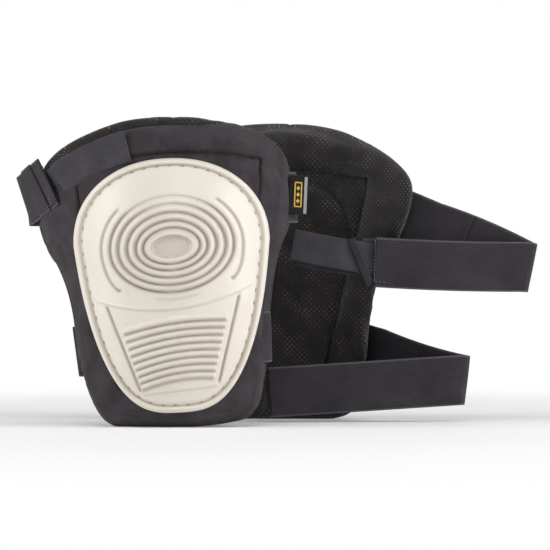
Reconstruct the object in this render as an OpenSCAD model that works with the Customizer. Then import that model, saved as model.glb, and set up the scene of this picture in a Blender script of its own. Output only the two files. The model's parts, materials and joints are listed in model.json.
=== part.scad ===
// A pair of strap-on knee pads, standing one behind the other.
// The right pad turns its hard cap to the front (-Y); the left pad, its mirror image,
// stands behind it with its lining to the front and its straps drawn out to the side.
// Millimetres, +Z up, origin at the centre of the pair's footprint.

/* [Pad] */
// Radius of the pad's outer face where it wraps the leg
wrap_r = 120; // [112:1:130]
// Thickness of the outer fabric shell
shell_t = 2; // [1.5:0.1:2.2]
// Thickness of the foam core
foam_t = 10; // [8:0.5:11]
// Thickness of the lining panel
lining_t = 3; // [2:0.1:3.2]
// Thickness of the padded rim inside the lining
bolster_t = 10; // [6:0.5:10]
// Thickness of the knee cushion
cushion_t = 12; // [8:0.5:13]

/* [Cap] */
// Width of the hard cap
cap_w = 152; // [146:1:154]
// Height of the cap above its widest line
cap_up = 64.5; // [62:0.5:66]
// Height of the cap below its widest line
cap_down = 132; // [126:0.5:132]
// Height of the cap's dome over the fabric
cap_dome = 20; // [18:0.5:24]
// Wall of the moulded cap
cap_wall = 3; // [2.4:0.1:3.4]
// Distance between two stitches along the cap's edge
stitch_pitch = 10; // [8:0.5:14]

/* [Straps] */
// Width of the elastic straps
strap_w = 40; // [37:1:41]
// Thickness of the elastic straps
strap_t = 2; // [1.5:0.1:2.2]
// Width of the hook tabs
tab_w = 25; // [24:1:26]
// Thickness of the hook tabs
tab_t = 1.8; // [1.4:0.1:2]
// Height of the upper straps' sewn ends over the cap's widest line
upper_z = 31; // [28:1:33]
// Height of the lower straps' sewn ends over the cap's widest line
lower_z = -77; // [-80:1:-74]

/* [Pair] */
// Lean of the right pad, towards its outer side
lean = 2.8; // [0:0.1:3]
// Sideways place of the right pad
right_x = -86.9; // [-88:0.1:-84]
// Sideways place of the left pad
left_x = -2.9; // [-5:0.1:0]
// Half the distance between the two pads' outer faces
half_gap = 82; // [80:0.5:90]

/* [Hidden] */
$fn = 96;

gap = 0.3;              // clearance between pieces that only lie against each other
cap_z = 142.4;          // height of the cap's widest line over the pad's lower edge
lift = 0.8;               // what the lean adds to that height
lining_d = shell_t + foam_t;       // depth of the lining panel's outer side in the pad
padding_d = lining_d + lining_t;   // depth at which the padded rim and cushion begin
core_share = 0.975;     // how far the foam and lining reach towards the shell's sides
rim_share = 0.94;       // how far the padded rim does
cap_mid_r = 90;         // radius of the cap's face, level with its widest line
cap_axis = cap_mid_r - cap_dome;
cap_end_r = cap_axis + 3.5;
oval_z = -3.9;          // height of the cap's central oval
oval_w = 29;
oval_h = 15;
oval_ring = 7;          // width of the raised ring around the oval
upper_crease = 11;      // lean of the fold in the left pad's upper strap
lower_crease = 6;       // lean of the fold in the left pad's lower strap

// Corners of the pad's outline, seen from the front, from its top clockwise.
pad_corners = [
    [-38, 95], [0, 97.5], [40, 94], [87, 79], [95.5, 44], [94.5, 6], [80, -18], [71, -66],
    [63, -128], [48, -142.4], [-44, -142.4], [-66, -134], [-80, -88], [-84, -30], [-105, 10],
    [-105, 48], [-92, 78]
];
// Corners of the seam that frames the padded rim.
frame_corners = [
    [-74, 55], [-22, 62], [22, 62], [74, 55], [68, 32], [56, -22], [38, -96], [35, -112],
    [-35, -112], [-38, -96], [-56, -22], [-68, 32]
];
// Corners of the knee cushion.
cushion_corners = [
    [-22, 51], [22, 51], [47, 38], [57, 8], [52, -25], [34, -98], [28, -108],
    [-28, -108], [-34, -98], [-52, -25], [-57, 8], [-47, 38]
];

// Chaikin's rule: each pass cuts every corner at a quarter and three quarters.
function cut_once(p) = [
    for (i = [0:len(p) - 1], q = [p[(i + 1) % len(p)]], k = [0.25, 0.75]) p[i] * (1 - k) + q * k
];
function rounded(p, passes) = passes == 0 ? p : rounded(cut_once(p), passes - 1);

// An outline drawn in sideways to a share of its width.
function narrowed(p, share) = [for (q = p) [q[0] * share, q[1]]];
// An outline kept clear of the shell's lower edge.
function raised(p) = [for (q = p) [q[0], max(q[1], -141.6)]];

// Points of the cap's outline, drawn in by d, and the radius and depth of its face.
function cap_outline(d, n) = concat(
    [for (i = [0:n - 1], t = [i * 90 / n]) [cos(t), 1, sin(t)]],
    [for (i = [0:n - 1], t = [i * 90 / n]) [-sin(t), 1, cos(t)]],
    [for (i = [0:n - 1], t = [i * 90 / n]) [-cos(t), -1, sin(t)]],
    [for (i = [0:n - 1], t = [i * 90 / n]) [sin(t), -1, cos(t)]]
);
function cap_point(c, d) =
    c[1] > 0
    ? [(cap_w / 2 - d) * sign(c[0]) * pow(abs(c[0]), 0.93), (cap_up - d) * pow(c[2], 0.93)]
    : let (s = pow(c[2], 0.8))
      [(cap_w / 2 - d) * (1 - 0.2 * s) * sign(c[0]) * pow(abs(c[0]), 0.667), -(cap_down - d) * s];
function cap_points(d, n) = [for (c = cap_outline(d, n)) cap_point(c, d)];
function cap_s(z) = min(1, z > 0 ? z / cap_up : -z / cap_down);
function cap_r(z) =
    cap_end_r + (cap_mid_r - cap_end_r) * pow(1 - pow(cap_s(z), 2.2), 0.8);
function cap_y(x, z) = cap_axis - sqrt(pow(cap_r(z), 2) - x * x);

module on_right() {
    translate([right_x, -half_gap, cap_z + lift]) rotate([0, -lean, 0]) children();
}

module on_left() {
    translate([left_x, half_gap, cap_z]) mirror([0, 1, 0]) children();
}

// A prism of an outline in X and Z, from depth y0 to y1.
module prism(points, y0, y1) {
    translate([0, y1, 0]) rotate([90, 0, 0]) linear_extrude(y1 - y0) polygon(points);
}

// A layer of the pad: an outline bent to the leg, between two depths behind its outer face.
module layer(points, outer, inner) {
    intersection() {
        difference() {
            translate([0, wrap_r + outer, -200]) cylinder(r = wrap_r, h = 400);
            translate([0, wrap_r + inner, -201]) cylinder(r = wrap_r, h = 402);
        }
        prism(points, -cap_dome, wrap_r);
    }
}

// The solid inside the cap's face, less d.
module dome(d) {
    steps = 7;
    ends = concat(
        [for (i = [-steps:steps], s = [i / steps]) let (z = (s < 0 ? cap_down : cap_up)
            * sign(s) * pow(abs(s), 0.7)) [cap_r(z) - d, z]]
    );
    translate([0, cap_axis, 0]) rotate_extrude()
        polygon(concat([[20, -cap_down]], ends, [[20, cap_up]]));
}

// A strip of webbing that runs along +X, with its ends leaning as the folds do.
module strip(len, w, t, lean0 = 0, lean1 = 0) {
    h = w / 2;
    a = h * tan(lean0);
    b = h * tan(lean1);
    rotate([90, 0, 0]) translate([0, 0, -t / 2]) linear_extrude(t)
        polygon([[-a, -h], [len - b, -h], [len + b, h], [a, h]]);
}

module along(p, yaw, pitch) {
    translate(p) rotate([0, -pitch, yaw]) children();
}

// A sewn rectangle of thread that stands on a strip's face, on the side that dir gives.
module box_stitch(x0, x1, h, dir) {
    line = 1;
    thread = 0.5;
    translate([0, dir * (strap_t + thread) / 2, 0]) rotate([90, 0, 0])
        translate([0, 0, -thread / 2]) linear_extrude(thread) difference() {
            translate([x0, -h / 2]) square([x1 - x0, h]);
            translate([x0 + line, line - h / 2]) square([x1 - x0 - 2 * line, h - 2 * line]);
        }
}

module oval(w, h) {
    n = 36;
    polygon([for (i = [0:n - 1]) [w / 2 * cos(i * 360 / n), oval_z + h / 2 * sin(i * 360 / n)]]);
}

module cap() color([0.9, 0.87, 0.82]) {
    face = -cap_dome - 0.6;
    difference() {
        union() {
            intersection() {
                difference() {
                    dome(0);
                    dome(cap_wall);
                }
                prism(cap_points(0, 9), -cap_dome - 2, wrap_r / 2);
            }
            translate([0, face + cap_wall, 0]) rotate([90, 0, 0]) linear_extrude(cap_wall)
                oval(oval_w + 2 * oval_ring, oval_h + 2 * oval_ring);
        }
        translate([0, wrap_r, -200]) cylinder(r = wrap_r + gap, h = 400);
        translate([0, face + 1.8, 0]) rotate([90, 0, 0]) linear_extrude(5) oval(oval_w, oval_h);
    }
}

module cap_stitching() color([0.45, 0.42, 0.38]) {
    run = cap_points(7, 60);
    count = round(560 / stitch_pitch);
    for (i = [0:count - 1]) {
        k = round(i * len(run) / count);
        p = run[k];
        q = run[(k + 1) % len(run)];
        translate([p[0], cap_y(p[0], p[1]) - 0.2, p[1]])
            rotate([0, -atan2(q[1] - p[1], q[0] - p[0]), 0]) cube([3, 0.8, 0.9], center = true);
    }
}

module cap_foam() color([0.75, 0.72, 0.5]) difference() {
    intersection() {
        dome(cap_wall + gap);
        prism(cap_points(6, 8), -cap_dome, wrap_r / 2);
    }
    translate([0, wrap_r, -200]) cylinder(r = wrap_r + gap, h = 400);
}

module front_shell() color([0.26, 0.25, 0.28]) {
    layer(raised(rounded(pad_corners, 2)), 0, shell_t);
}

module seam_thread() color([0.15, 0.15, 0.16]) {
    thread = 0.35;
    half = 0.5;
    seam = [[-71, 44], [-71, 62], [-36, 67.5], [0, 69.5], [36, 67.5], [72, 62], [72, 44]];
    for (i = [0:len(seam) - 2]) {
        a = seam[i];
        b = seam[i + 1];
        d = (b - a) / norm(b - a) * half;
        layer([a + [d[1], -d[0]], b + [d[1], -d[0]], b + [-d[1], d[0]], a + [-d[1], d[0]]],
            -thread, 0);
    }
}

module foam_core() color([0.35, 0.35, 0.36]) {
    layer(narrowed(raised(rounded(pad_corners, 1)), core_share), shell_t, lining_d);
}

module lining_panel() color([0.2, 0.18, 0.18]) {
    layer(narrowed(raised(rounded(pad_corners, 1)), core_share), lining_d, padding_d);
}

module bolster() color([0.17, 0.15, 0.15]) difference() {
    layer(narrowed(raised(rounded(pad_corners, 1)), rim_share), padding_d, padding_d + bolster_t);
    prism(rounded(frame_corners, 1), -1, wrap_r);
}

module knee_cushion() color([0.22, 0.2, 0.2]) {
    layer(rounded(cushion_corners, 1), padding_d, padding_d + cushion_t);
}

module upper_strap_anchor() color([0.22, 0.21, 0.23])
    along([96.3, 48.2, upper_z], 52, 0) strip(8, strap_w + 1, strap_t);

module lower_strap_anchor() color([0.22, 0.21, 0.23])
    along([71.4, 24.8, lower_z], 36, 0) strip(5, strap_w + 1, strap_t, 7, 7);

module right_upper_strap_arm() color([0.22, 0.21, 0.23]) {
    along([102.2, 56.2, upper_z], 115, 0) strip(13.5, strap_w, strap_t);
    along([97, 68.4, upper_z], 176.7, 2.2) strip(210.2, strap_w, strap_t, 0, 10);
}

module right_upper_return(out) {
    along([-114.4, 73.3, 39], -58.3, 18) translate([0, out, 0]) children();
}

module right_upper_strap_return() color([0.24, 0.23, 0.25])
    right_upper_return(0) strip(42, strap_w, strap_t, 6, 0);

module right_upper_hook_tab() color([0.27, 0.26, 0.28])
    layer([[-91.6, 66.2], [-29.4, 86], [-27, 64.2], [-87, 41.5]], -0.6 - tab_t, -0.6);

module right_upper_tab_stitching() color([0.4, 0.4, 0.42])
    right_upper_return(0) box_stitch(32, 40, 30, -1);

module right_lower_strap_arm() color([0.22, 0.21, 0.23]) {
    along([76.5, 30.4, lower_z], 94, 0) strip(31, strap_w, strap_t);
    along([74.4, 60.4, lower_z], 177.9, -2) strip(155, strap_w, strap_t);
}

module right_lower_strap_return() color([0.24, 0.23, 0.25])
    along([-80.6, 71.4, lower_z - 5.2], 1, 0) strip(58, strap_w, strap_t);

module right_lower_hook_tab() color([0.27, 0.26, 0.28])
    along([-23, 76.8, lower_z - 5.2], 180, 0) strip(40, tab_w, tab_t);

module right_lower_tab_stitching() color([0.4, 0.4, 0.42])
    along([-80.6, 71.4, lower_z - 5.2], 1, 0) box_stitch(46, 55, 28, 1);

module right_side_tag() color([0.12, 0.12, 0.12])
    along([96.2, 44.6, upper_z + 0.8], 12, 0) strip(11, 26.5, 1, -5, -5);

module left_upper_strap_arm() color([0.22, 0.21, 0.23])
    along([102.6, 57, 24], 6.5, -22) strip(108.9, strap_w, strap_t, 12, -upper_crease);

module left_upper_return() {
    along([203, 74.4, -17.2], 179, 1.9) children();
}

module left_upper_strap_return() color([0.24, 0.23, 0.25])
    left_upper_return() strip(128, strap_w, strap_t, -upper_crease, 0);

module left_upper_hook_tab() color([0.27, 0.26, 0.28])
    along([73.8, 77, -11], 179, 11.8) strip(61, tab_w, tab_t, 10, 6);

module left_upper_tab_stitching() color([0.4, 0.4, 0.42])
    left_upper_return() box_stitch(118, 126.5, 30, 1);

module left_lower_strap_arm() color([0.22, 0.21, 0.23])
    along([77.2, 29.62, lower_z - 9.15], 27.9, -14.75) strip(83.9, strap_w, strap_t, 6, -lower_crease);

module left_lower_return() {
    along([149, 74.4, -109.5], 179, -3.4) children();
}

module left_lower_strap_return() color([0.24, 0.23, 0.25])
    left_lower_return() strip(157, strap_w, strap_t, -lower_crease, -3);

module left_lower_hook_tab() color([0.27, 0.26, 0.28])
    along([-5, 71.6, -118.6], 0, 3.4) strip(32, tab_w, tab_t);

module left_lower_tab_stitching() color([0.4, 0.4, 0.42])
    left_lower_return() box_stitch(88, 97, 30, 1);

on_right() cap();  // right_cap
on_right() cap_stitching();  // right_cap_stitching
on_right() cap_foam();  // right_cap_foam
on_right() front_shell();  // right_front_shell
on_right() seam_thread();  // right_seam_thread
on_right() foam_core();  // right_foam_core
on_right() lining_panel();  // right_lining_panel
on_right() bolster();  // right_bolster
on_right() knee_cushion();  // right_knee_cushion
on_right() upper_strap_anchor();  // right_upper_strap_anchor
on_right() right_upper_strap_arm();
on_right() right_upper_strap_return();
on_right() right_upper_hook_tab();
on_right() right_upper_tab_stitching();
on_right() lower_strap_anchor();  // right_lower_strap_anchor
on_right() right_lower_strap_arm();
on_right() right_lower_strap_return();
on_right() right_lower_hook_tab();
on_right() right_lower_tab_stitching();
on_right() right_side_tag();
on_left() cap();  // left_cap
on_left() cap_stitching();  // left_cap_stitching
on_left() cap_foam();  // left_cap_foam
on_left() front_shell();  // left_front_shell
on_left() seam_thread();  // left_seam_thread
on_left() foam_core();  // left_foam_core
on_left() lining_panel();  // left_lining_panel
on_left() bolster();  // left_bolster
on_left() knee_cushion();  // left_knee_cushion
on_left() upper_strap_anchor();  // left_upper_strap_anchor
on_left() left_upper_strap_arm();
on_left() left_upper_strap_return();
on_left() left_upper_hook_tab();
on_left() left_upper_tab_stitching();
on_left() lower_strap_anchor();  // left_lower_strap_anchor
on_left() left_lower_strap_arm();
on_left() left_lower_strap_return();
on_left() left_lower_hook_tab();
on_left() left_lower_tab_stitching();
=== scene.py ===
import json
import math

import bpy
import numpy as np
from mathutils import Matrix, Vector


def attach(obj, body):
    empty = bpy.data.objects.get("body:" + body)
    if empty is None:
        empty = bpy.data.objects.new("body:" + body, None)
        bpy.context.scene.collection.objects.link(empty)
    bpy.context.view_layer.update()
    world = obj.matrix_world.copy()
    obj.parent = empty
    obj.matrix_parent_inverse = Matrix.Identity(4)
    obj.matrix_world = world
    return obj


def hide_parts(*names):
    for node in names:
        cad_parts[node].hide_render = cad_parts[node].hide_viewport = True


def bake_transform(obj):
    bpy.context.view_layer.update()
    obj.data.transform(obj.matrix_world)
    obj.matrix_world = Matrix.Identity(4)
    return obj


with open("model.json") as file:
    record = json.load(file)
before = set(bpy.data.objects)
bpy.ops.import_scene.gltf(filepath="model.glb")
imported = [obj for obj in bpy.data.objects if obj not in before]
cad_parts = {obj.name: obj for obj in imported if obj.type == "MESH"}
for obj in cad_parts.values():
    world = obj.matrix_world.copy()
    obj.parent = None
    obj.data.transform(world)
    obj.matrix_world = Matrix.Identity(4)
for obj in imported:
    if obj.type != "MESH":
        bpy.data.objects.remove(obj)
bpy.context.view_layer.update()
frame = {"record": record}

# Lengths in this script are millimetres in a pad's own frame unless a name says metres:
# x across the pad, y from the pad's outer face towards the knee, z up from the cap's widest line.
MM = 0.001
WRAP_R = 120.0
SEAT_DEPTH = 27.0
CAP_HALF, CAP_UP, CAP_DOWN = 75.8, 64.3, 131.4
CAP_DOME, CAP_MID_R, CAP_END_R = 20.0, 90.0, 73.5
OVAL_X, OVAL_Z = 1.0, -3.9
STRAP_W, STRAP_T = 40.0, 2.0
FLOOR_M = 0.0016                  # the lowest a soft cover's inner side may lie, in metres
TAB_W, TAB_T = 25.0, 1.8

record = frame["record"]
mounts = {m["name"]: m for m in record["mounts"]}
joints = {j["name"]: j for j in record["behaviour"]["joints"]}


# ---------------------------------------------------------------- places

class Pad:
    """One pad's own frame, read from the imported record."""

    def __init__(self, side):
        self.side = side
        self.body = side + "_pad"
        self.flip = 1.0 if side == "right" else -1.0
        seat = mounts[side + "_knee_seat"]
        self.origin = (
            np.array(seat["pos_m"]) - np.array(seat["axis"]) * SEAT_DEPTH * MM
        )
        up = np.array(joints["right_lower_strap_fold"]["axis"])
        self.up = up if side == "right" else np.array([0.0, 0.0, 1.0])
        self.across = np.array([self.up[2], 0.0, -self.up[0]])

    def place(self, p):
        """Points in the pad's frame, in millimetres, as points in the row frame, in metres."""
        p = np.asarray(p, float)
        back = np.array([0.0, self.flip, 0.0])
        return (
            self.origin
            + (p[..., 0:1] * self.across + p[..., 1:2] * back + p[..., 2:3] * self.up) * MM
        )

    def name(self, word):
        return f"{self.side}_{word}"


PADS = {side: Pad(side) for side in ("right", "left")}


def behind(x, z, depth):
    """The point over (x, z) of the pad's outer face, depth behind that face."""
    x = np.asarray(x, float)
    sag = WRAP_R - np.sqrt(WRAP_R ** 2 - np.clip(x, -117.5, 117.5) ** 2)
    return np.stack([x, sag + depth, z + 0 * x], -1)


# ---------------------------------------------------------------- outlines

def rounded(points, passes):
    """Chaikin's rule on a closed outline."""
    p = np.asarray(points, float)
    for _ in range(passes):
        q = np.roll(p, -1, 0)
        p = np.stack([0.75 * p + 0.25 * q, 0.25 * p + 0.75 * q], 1).reshape(-1, 2)
    return p


HUB = np.array([0.0, -14.0])


def reach(points, passes, turns):
    """How far a closed outline lies from the hub, at each angle of turns."""
    p = rounded(points, passes) - HUB
    angle = np.unwrap(np.arctan2(p[:, 1], p[:, 0]))
    if angle[-1] < angle[0]:
        p, angle = p[::-1], angle[::-1]
    angle, far = angle % (2 * math.pi), np.hypot(p[:, 0], p[:, 1])
    order = np.argsort(angle)
    return np.interp(turns, angle[order], far[order], period=2 * math.pi)


PAD_CORNERS = [
    (-38, 93.5), (0, 96.2), (40, 92.5), (85, 77), (95.5, 46), (93, 14), (79, -16), (71, -66),
    (63, -128), (48, -142.4), (-44, -142.4), (-62, -134), (-76, -88), (-81.5, -30), (-104, 12),
    (-105, 48), (-91, 74.5),
]
SPREAD_CORNERS = [
    (-38, 95), (0, 97.8), (40, 95), (73, 80.5), (92, 66), (103.5, 51.5), (103.5, 34), (96, 11),
    (78.5, -26), (73, -58), (71.5, -76), (65, -128), (48, -142.4), (-44, -142.4), (-66, -134),
    (-80, -88), (-84, -30), (-105, 10), (-107, 48), (-95, 80),
]
FRONT_SEAM_CORNERS = [
    (-71, 62.5), (-71, 62.5), (-36, 67.5), (0, 69.5), (36, 67.5), (72, 62), (72, 62), (68, 30),
    (57, -20), (43, -96), (40, -116), (-44, -116), (-48, -96), (-60, -20), (-70, 30),
]
LINING_SEAM_CORNERS = [
    (-73.5, 55), (-73.5, 55), (-22, 61.5), (22, 61.5), (51, 57.8), (73.5, 55), (73.5, 55),
    (68, 34), (63, 8), (56, -22), (48, -60), (39, -96), (35, -114), (-35, -114), (-39, -96),
    (-48, -60), (-56, -22), (-63, 8), (-68, 34),
]
CUSHION_HALF = [
    (24, 51), (40, 42), (53, 26), (58.5, 6), (53.5, -22), (45.5, -60), (36.5, -96), (31, -110),
]
CUSHION_CORNERS = CUSHION_HALF + [(-x, z) for x, z in CUSHION_HALF[::-1]]


def cap_edge(turn):
    """The cap's outline point at each parameter turn, 0 at +x, a quarter turn at the top."""
    c, s = np.cos(turn), np.sin(turn)
    up = s >= 0
    high_x = CAP_HALF * np.sign(c) * np.abs(c) ** 0.93
    high_z = CAP_UP * np.abs(s) ** 0.93
    low = np.abs(s) ** 0.8
    low_x = CAP_HALF * (1 - 0.2 * low) * np.sign(c) * np.abs(c) ** 0.667
    return np.where(up, high_x, low_x), np.where(up, high_z, -CAP_DOWN * low)


def smooth(t):
    t = np.clip(t, 0, 1)
    return t * t * (3 - 2 * t)


# ---------------------------------------------------------------- mesh helpers

def new_mesh(name, points, faces, uv=None, smooth_faces=True, dips=None):
    """A mesh object from points in metres, with a UV place and a dip for each point. A dip
    says from 0 to 1 how much a point lies down in a groove or a seam, and so how much painted shade
    the materials give it."""
    mesh = bpy.data.meshes.new(name)
    mesh.from_pydata([tuple(p) for p in points], [], [tuple(f) for f in faces])
    if uv is not None:
        layer = mesh.uv_layers.new(name="UVMap")
        corner = np.empty(len(mesh.loops), np.int32)
        mesh.loops.foreach_get("vertex_index", corner)
        layer.data.foreach_set("uv", np.asarray(uv, np.float32)[corner].ravel())
    if dips is not None:
        values = mesh.attributes.new("dip", "FLOAT", "POINT").data
        values.foreach_set("value", np.asarray(dips, np.float32))
    mesh.polygons.foreach_set("use_smooth", [smooth_faces] * len(mesh.polygons))
    mesh.update()
    obj = bpy.data.objects.new(name, mesh)
    bpy.context.scene.collection.objects.link(obj)
    return obj


def ring_faces(rings, count, flip):
    """Quads between rings of count points each."""
    faces = []
    for i in range(rings - 1):
        for j in range(count):
            k = (j + 1) % count
            a, b = i * count + j, i * count + k
            c, d = (i + 1) * count + k, (i + 1) * count + j
            faces.append((a, d, c, b) if flip else (a, b, c, d))
    return faces


def disc(rings_xyz, centre, flip):
    """Points and faces of rings of points, outermost first, closed at a centre point."""
    rings, count = rings_xyz.shape[:2]
    points = np.concatenate([rings_xyz.reshape(-1, 3), centre.reshape(1, 3)])
    faces = ring_faces(rings, count, flip)
    hub = rings * count
    for j in range(count):
        a, b = (rings - 1) * count + j, (rings - 1) * count + (j + 1) % count
        faces.append((a, hub, b) if flip else (a, b, hub))
    return points, faces


def dress(obj, material, body=None, replaces=()):
    """Gives a piece its material, slot and body, and hides the CAD nodes that it stands for."""
    obj.data.materials.append(material)
    if replaces:
        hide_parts(*replaces)
    if body:
        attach(obj, body)
    return obj


def make_solid(obj, thickness_mm):
    """Gives an open sheet its thickness, on the side that faces out of the pad."""
    mod = obj.modifiers.new("thickness", "SOLIDIFY")
    mod.thickness = thickness_mm * MM
    mod.offset = -1.0
    mod.use_quality_normals = True
    bpy.context.view_layer.objects.active = obj
    obj.select_set(True)
    bpy.ops.object.modifier_apply(modifier=mod.name)
    obj.select_set(False)


def ribbon(name, centre, across, width, thick, pad, edge_round=0.8, ripple=0.0):
    """A closed band of webbing along centre points, with its width along across."""
    centre, across = np.asarray(centre, float), np.asarray(across, float)
    across = across / np.linalg.norm(across, axis=1, keepdims=True)
    run = np.gradient(centre, axis=0)
    run /= np.linalg.norm(run, axis=1, keepdims=True)
    across = across - run * np.sum(across * run, 1, keepdims=True)
    across /= np.linalg.norm(across, axis=1, keepdims=True)
    face = np.cross(run, across)
    step = np.linalg.norm(np.diff(centre, axis=0), axis=1)
    length = np.concatenate([[0], np.cumsum(step)])
    flat = np.linspace(-1, 1, 13) * (width / 2 - edge_round)
    half = thick / 2
    right = [(width / 2 - edge_round + edge_round * math.cos(b), half * math.sin(b))
             for b in np.radians(np.linspace(-90, 90, 5))]
    top = [(w, half) for w in flat[::-1][1:-1]]
    section = np.array(right + top)
    section = np.concatenate([section, -section])
    wave = ripple * np.sin(length / 23.0)[:, None] * np.sin(section[:, 0] / 11.0 + 0.7)[None]
    points = (
        centre[:, None]
        + across[:, None] * section[None, :, 0:1]
        + face[:, None] * (section[None, :, 1] + wave)[..., None]
    )
    count = len(section)
    rings = len(centre)
    faces = ring_faces(rings, count, flip=pad.flip < 0)
    ends = [list(range(count)), [(rings - 1) * count + j for j in range(count)][::-1]]
    faces += ends if pad.flip < 0 else [end[::-1] for end in ends]
    uv = np.stack([np.repeat(length, count), np.tile(section[:, 0], rings)], 1) * MM
    return new_mesh(name, pad.place(points.reshape(-1, 3)), faces, uv)


def stitches(name, middles, runs, ups, size, pad):
    """Short thread stitches: one small rounded bar at each middle, lying along its run."""
    length, width, height = size
    ring = 6
    profile = [(-1.0, 0.15), (-0.8, 0.75), (-0.3, 1.0), (0.3, 1.0), (0.8, 0.75), (1.0, 0.15)]
    points, faces = [], []
    for m, r, u in zip(middles, runs, ups):
        r = r / np.linalg.norm(r)
        u = u - r * np.dot(u, r)
        u /= np.linalg.norm(u)
        s = np.cross(u, r)
        base = len(points)
        for along, fat in profile:
            for k in range(ring):
                a = 2 * math.pi * k / ring
                points.append(
                    m + r * along * length / 2
                    + s * math.cos(a) * fat * width / 2
                    + u * (math.sin(a) * fat * height / 2 - 0.12 * along * along * length)
                )
        for i in range(len(profile) - 1):
            for k in range(ring):
                a, b = base + i * ring + k, base + i * ring + (k + 1) % ring
                faces.append((a, a + ring, b + ring, b))
        faces.append(tuple(base + k for k in range(ring)))
        faces.append(tuple(base + (len(profile) - 1) * ring + k for k in range(ring))[::-1])
    if pad.flip > 0:
        faces = [f[::-1] for f in faces]
    return new_mesh(name, pad.place(np.array(points)), faces)


# ---------------------------------------------------------------- materials

def shader(name, **values):
    """A new material's node tree and its Principled shader with its own values set."""
    mat = bpy.data.materials.new(name)
    mat.use_nodes = True
    tree = mat.node_tree
    node = tree.nodes["Principled BSDF"]
    for key, value in values.items():
        node.inputs[key].default_value = value
    return mat, tree, node


class Graph:
    """Short calls for the nodes that the materials share."""

    def __init__(self, tree):
        self.tree = tree

    def add(self, kind, **props):
        node = self.tree.nodes.new(kind)
        for key, value in props.items():
            setattr(node, key, value)
        return node

    def link(self, a, b):
        self.tree.links.new(a, b)

    def math(self, operation, a, b=None, c=None, clamp=False):
        node = self.add("ShaderNodeMath", operation=operation, use_clamp=clamp)
        for i, v in enumerate((a, b, c)):
            if v is None:
                continue
            if isinstance(v, (int, float)):
                node.inputs[i].default_value = v
            else:
                self.link(v, node.inputs[i])
        return node.outputs[0]

    def noise(self, vector, scale, detail=3.0, rough=0.55):
        node = self.add("ShaderNodeTexNoise")
        node.inputs["Scale"].default_value = scale
        node.inputs["Detail"].default_value = detail
        node.inputs["Roughness"].default_value = rough
        self.link(vector, node.inputs["Vector"])
        return node.outputs["Fac"]

    def ramp(self, fac, stops):
        node = self.add("ShaderNodeValToRGB")
        ramp = node.color_ramp
        while len(ramp.elements) < len(stops):
            ramp.elements.new(0.5)
        for element, (place, colour) in zip(ramp.elements, stops):
            element.position = place
            element.color = (*colour, 1)
        self.link(fac, node.inputs["Fac"])
        return node.outputs["Color"]

    def mix(self, fac, a, b):
        node = self.add("ShaderNodeMix", data_type="RGBA")
        if isinstance(fac, (int, float)):
            node.inputs[0].default_value = fac
        else:
            self.link(fac, node.inputs[0])
        for i, v in ((6, a), (7, b)):
            if isinstance(v, tuple):
                node.inputs[i].default_value = (*v, 1)
            else:
                self.link(v, node.inputs[i])
        return node.outputs[2]

    def bump(self, height, strength, distance_mm, normal=None):
        node = self.add("ShaderNodeBump")
        node.inputs["Strength"].default_value = strength
        node.inputs["Distance"].default_value = distance_mm * MM
        self.link(height, node.inputs["Height"])
        if normal is not None:
            self.link(normal, node.inputs["Normal"])
        return node.outputs["Normal"]

    def uv_parts(self):
        """The UV place, which is in metres on the flat fabric, and its two parts."""
        place = self.add("ShaderNodeUVMap").outputs[0]
        split = self.add("ShaderNodeSeparateXYZ")
        self.link(place, split.inputs[0])
        return place, split.outputs[0], split.outputs[1]

    def shaded(self, colour, dark):
        """The colour, darkened as painted shade where the piece's dip attribute says that it lies in
        a seam or groove.
        """
        dip = self.add("ShaderNodeAttribute", attribute_name="dip").outputs["Fac"]
        painted_shade_colour = tuple(c * 0.25 for c in dark)
        # painted shade: the colour goes towards a quarter of dark where the dip is high
        return self.mix(self.math("MULTIPLY", dip, 0.9), colour, painted_shade_colour)

    def cosine(self, value, pitch_mm):
        """A cosine from 0 to 1 of a length in metres, with the given pitch."""
        turn = self.math("MULTIPLY", value, 2 * math.pi / (pitch_mm * MM))
        return self.math("MULTIPLY_ADD", self.math("COSINE", turn), 0.5, 0.5)


def cap_material():
    """Moulded plastic: a little mottled and scuffed, with painted shade in its grooves and under its
    ridges.
    """
    mat, tree, node = shader(
        "cap_moulding", Roughness=0.42, **{"Specular IOR Level": 0.42, "Subsurface Weight": 0.04}
    )
    node.inputs["Subsurface Radius"].default_value = (0.004, 0.003, 0.002)
    g = Graph(tree)
    place = g.add("ShaderNodeTexCoord").outputs["Object"]
    dip = g.add("ShaderNodeAttribute", attribute_name="dip").outputs["Fac"]
    mottle = g.noise(place, 22.0, 4.0)
    base = g.ramp(mottle, [(0.3, (0.685, 0.634, 0.556)), (0.7, (0.74, 0.689, 0.611))])
    # painted shade: brown where the dip attribute says a point lies in a groove, the recessed oval or
    # under a ridge
    groove_shaded = g.mix(g.math("MULTIPLY", dip, 0.72), base, (0.27, 0.225, 0.165))
    scuff = g.noise(place, 160.0, 6.0, 0.7)
    marks = g.ramp(scuff, [(0.56, (0.0, 0.0, 0.0)), (0.75, (0.35, 0.35, 0.35))])
    g.link(g.mix(marks, groove_shaded, (0.60, 0.55, 0.47)), node.inputs["Base Color"])
    g.link(g.math("MULTIPLY_ADD", scuff, 0.16, 0.34), node.inputs["Roughness"])
    grain = g.noise(place, 1400.0, 2.0)
    normal = g.bump(g.noise(place, 90.0, 3.0), 0.12, 0.8)
    g.link(g.bump(grain, 0.10, 0.25, normal), node.inputs["Normal"])
    return mat


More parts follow.
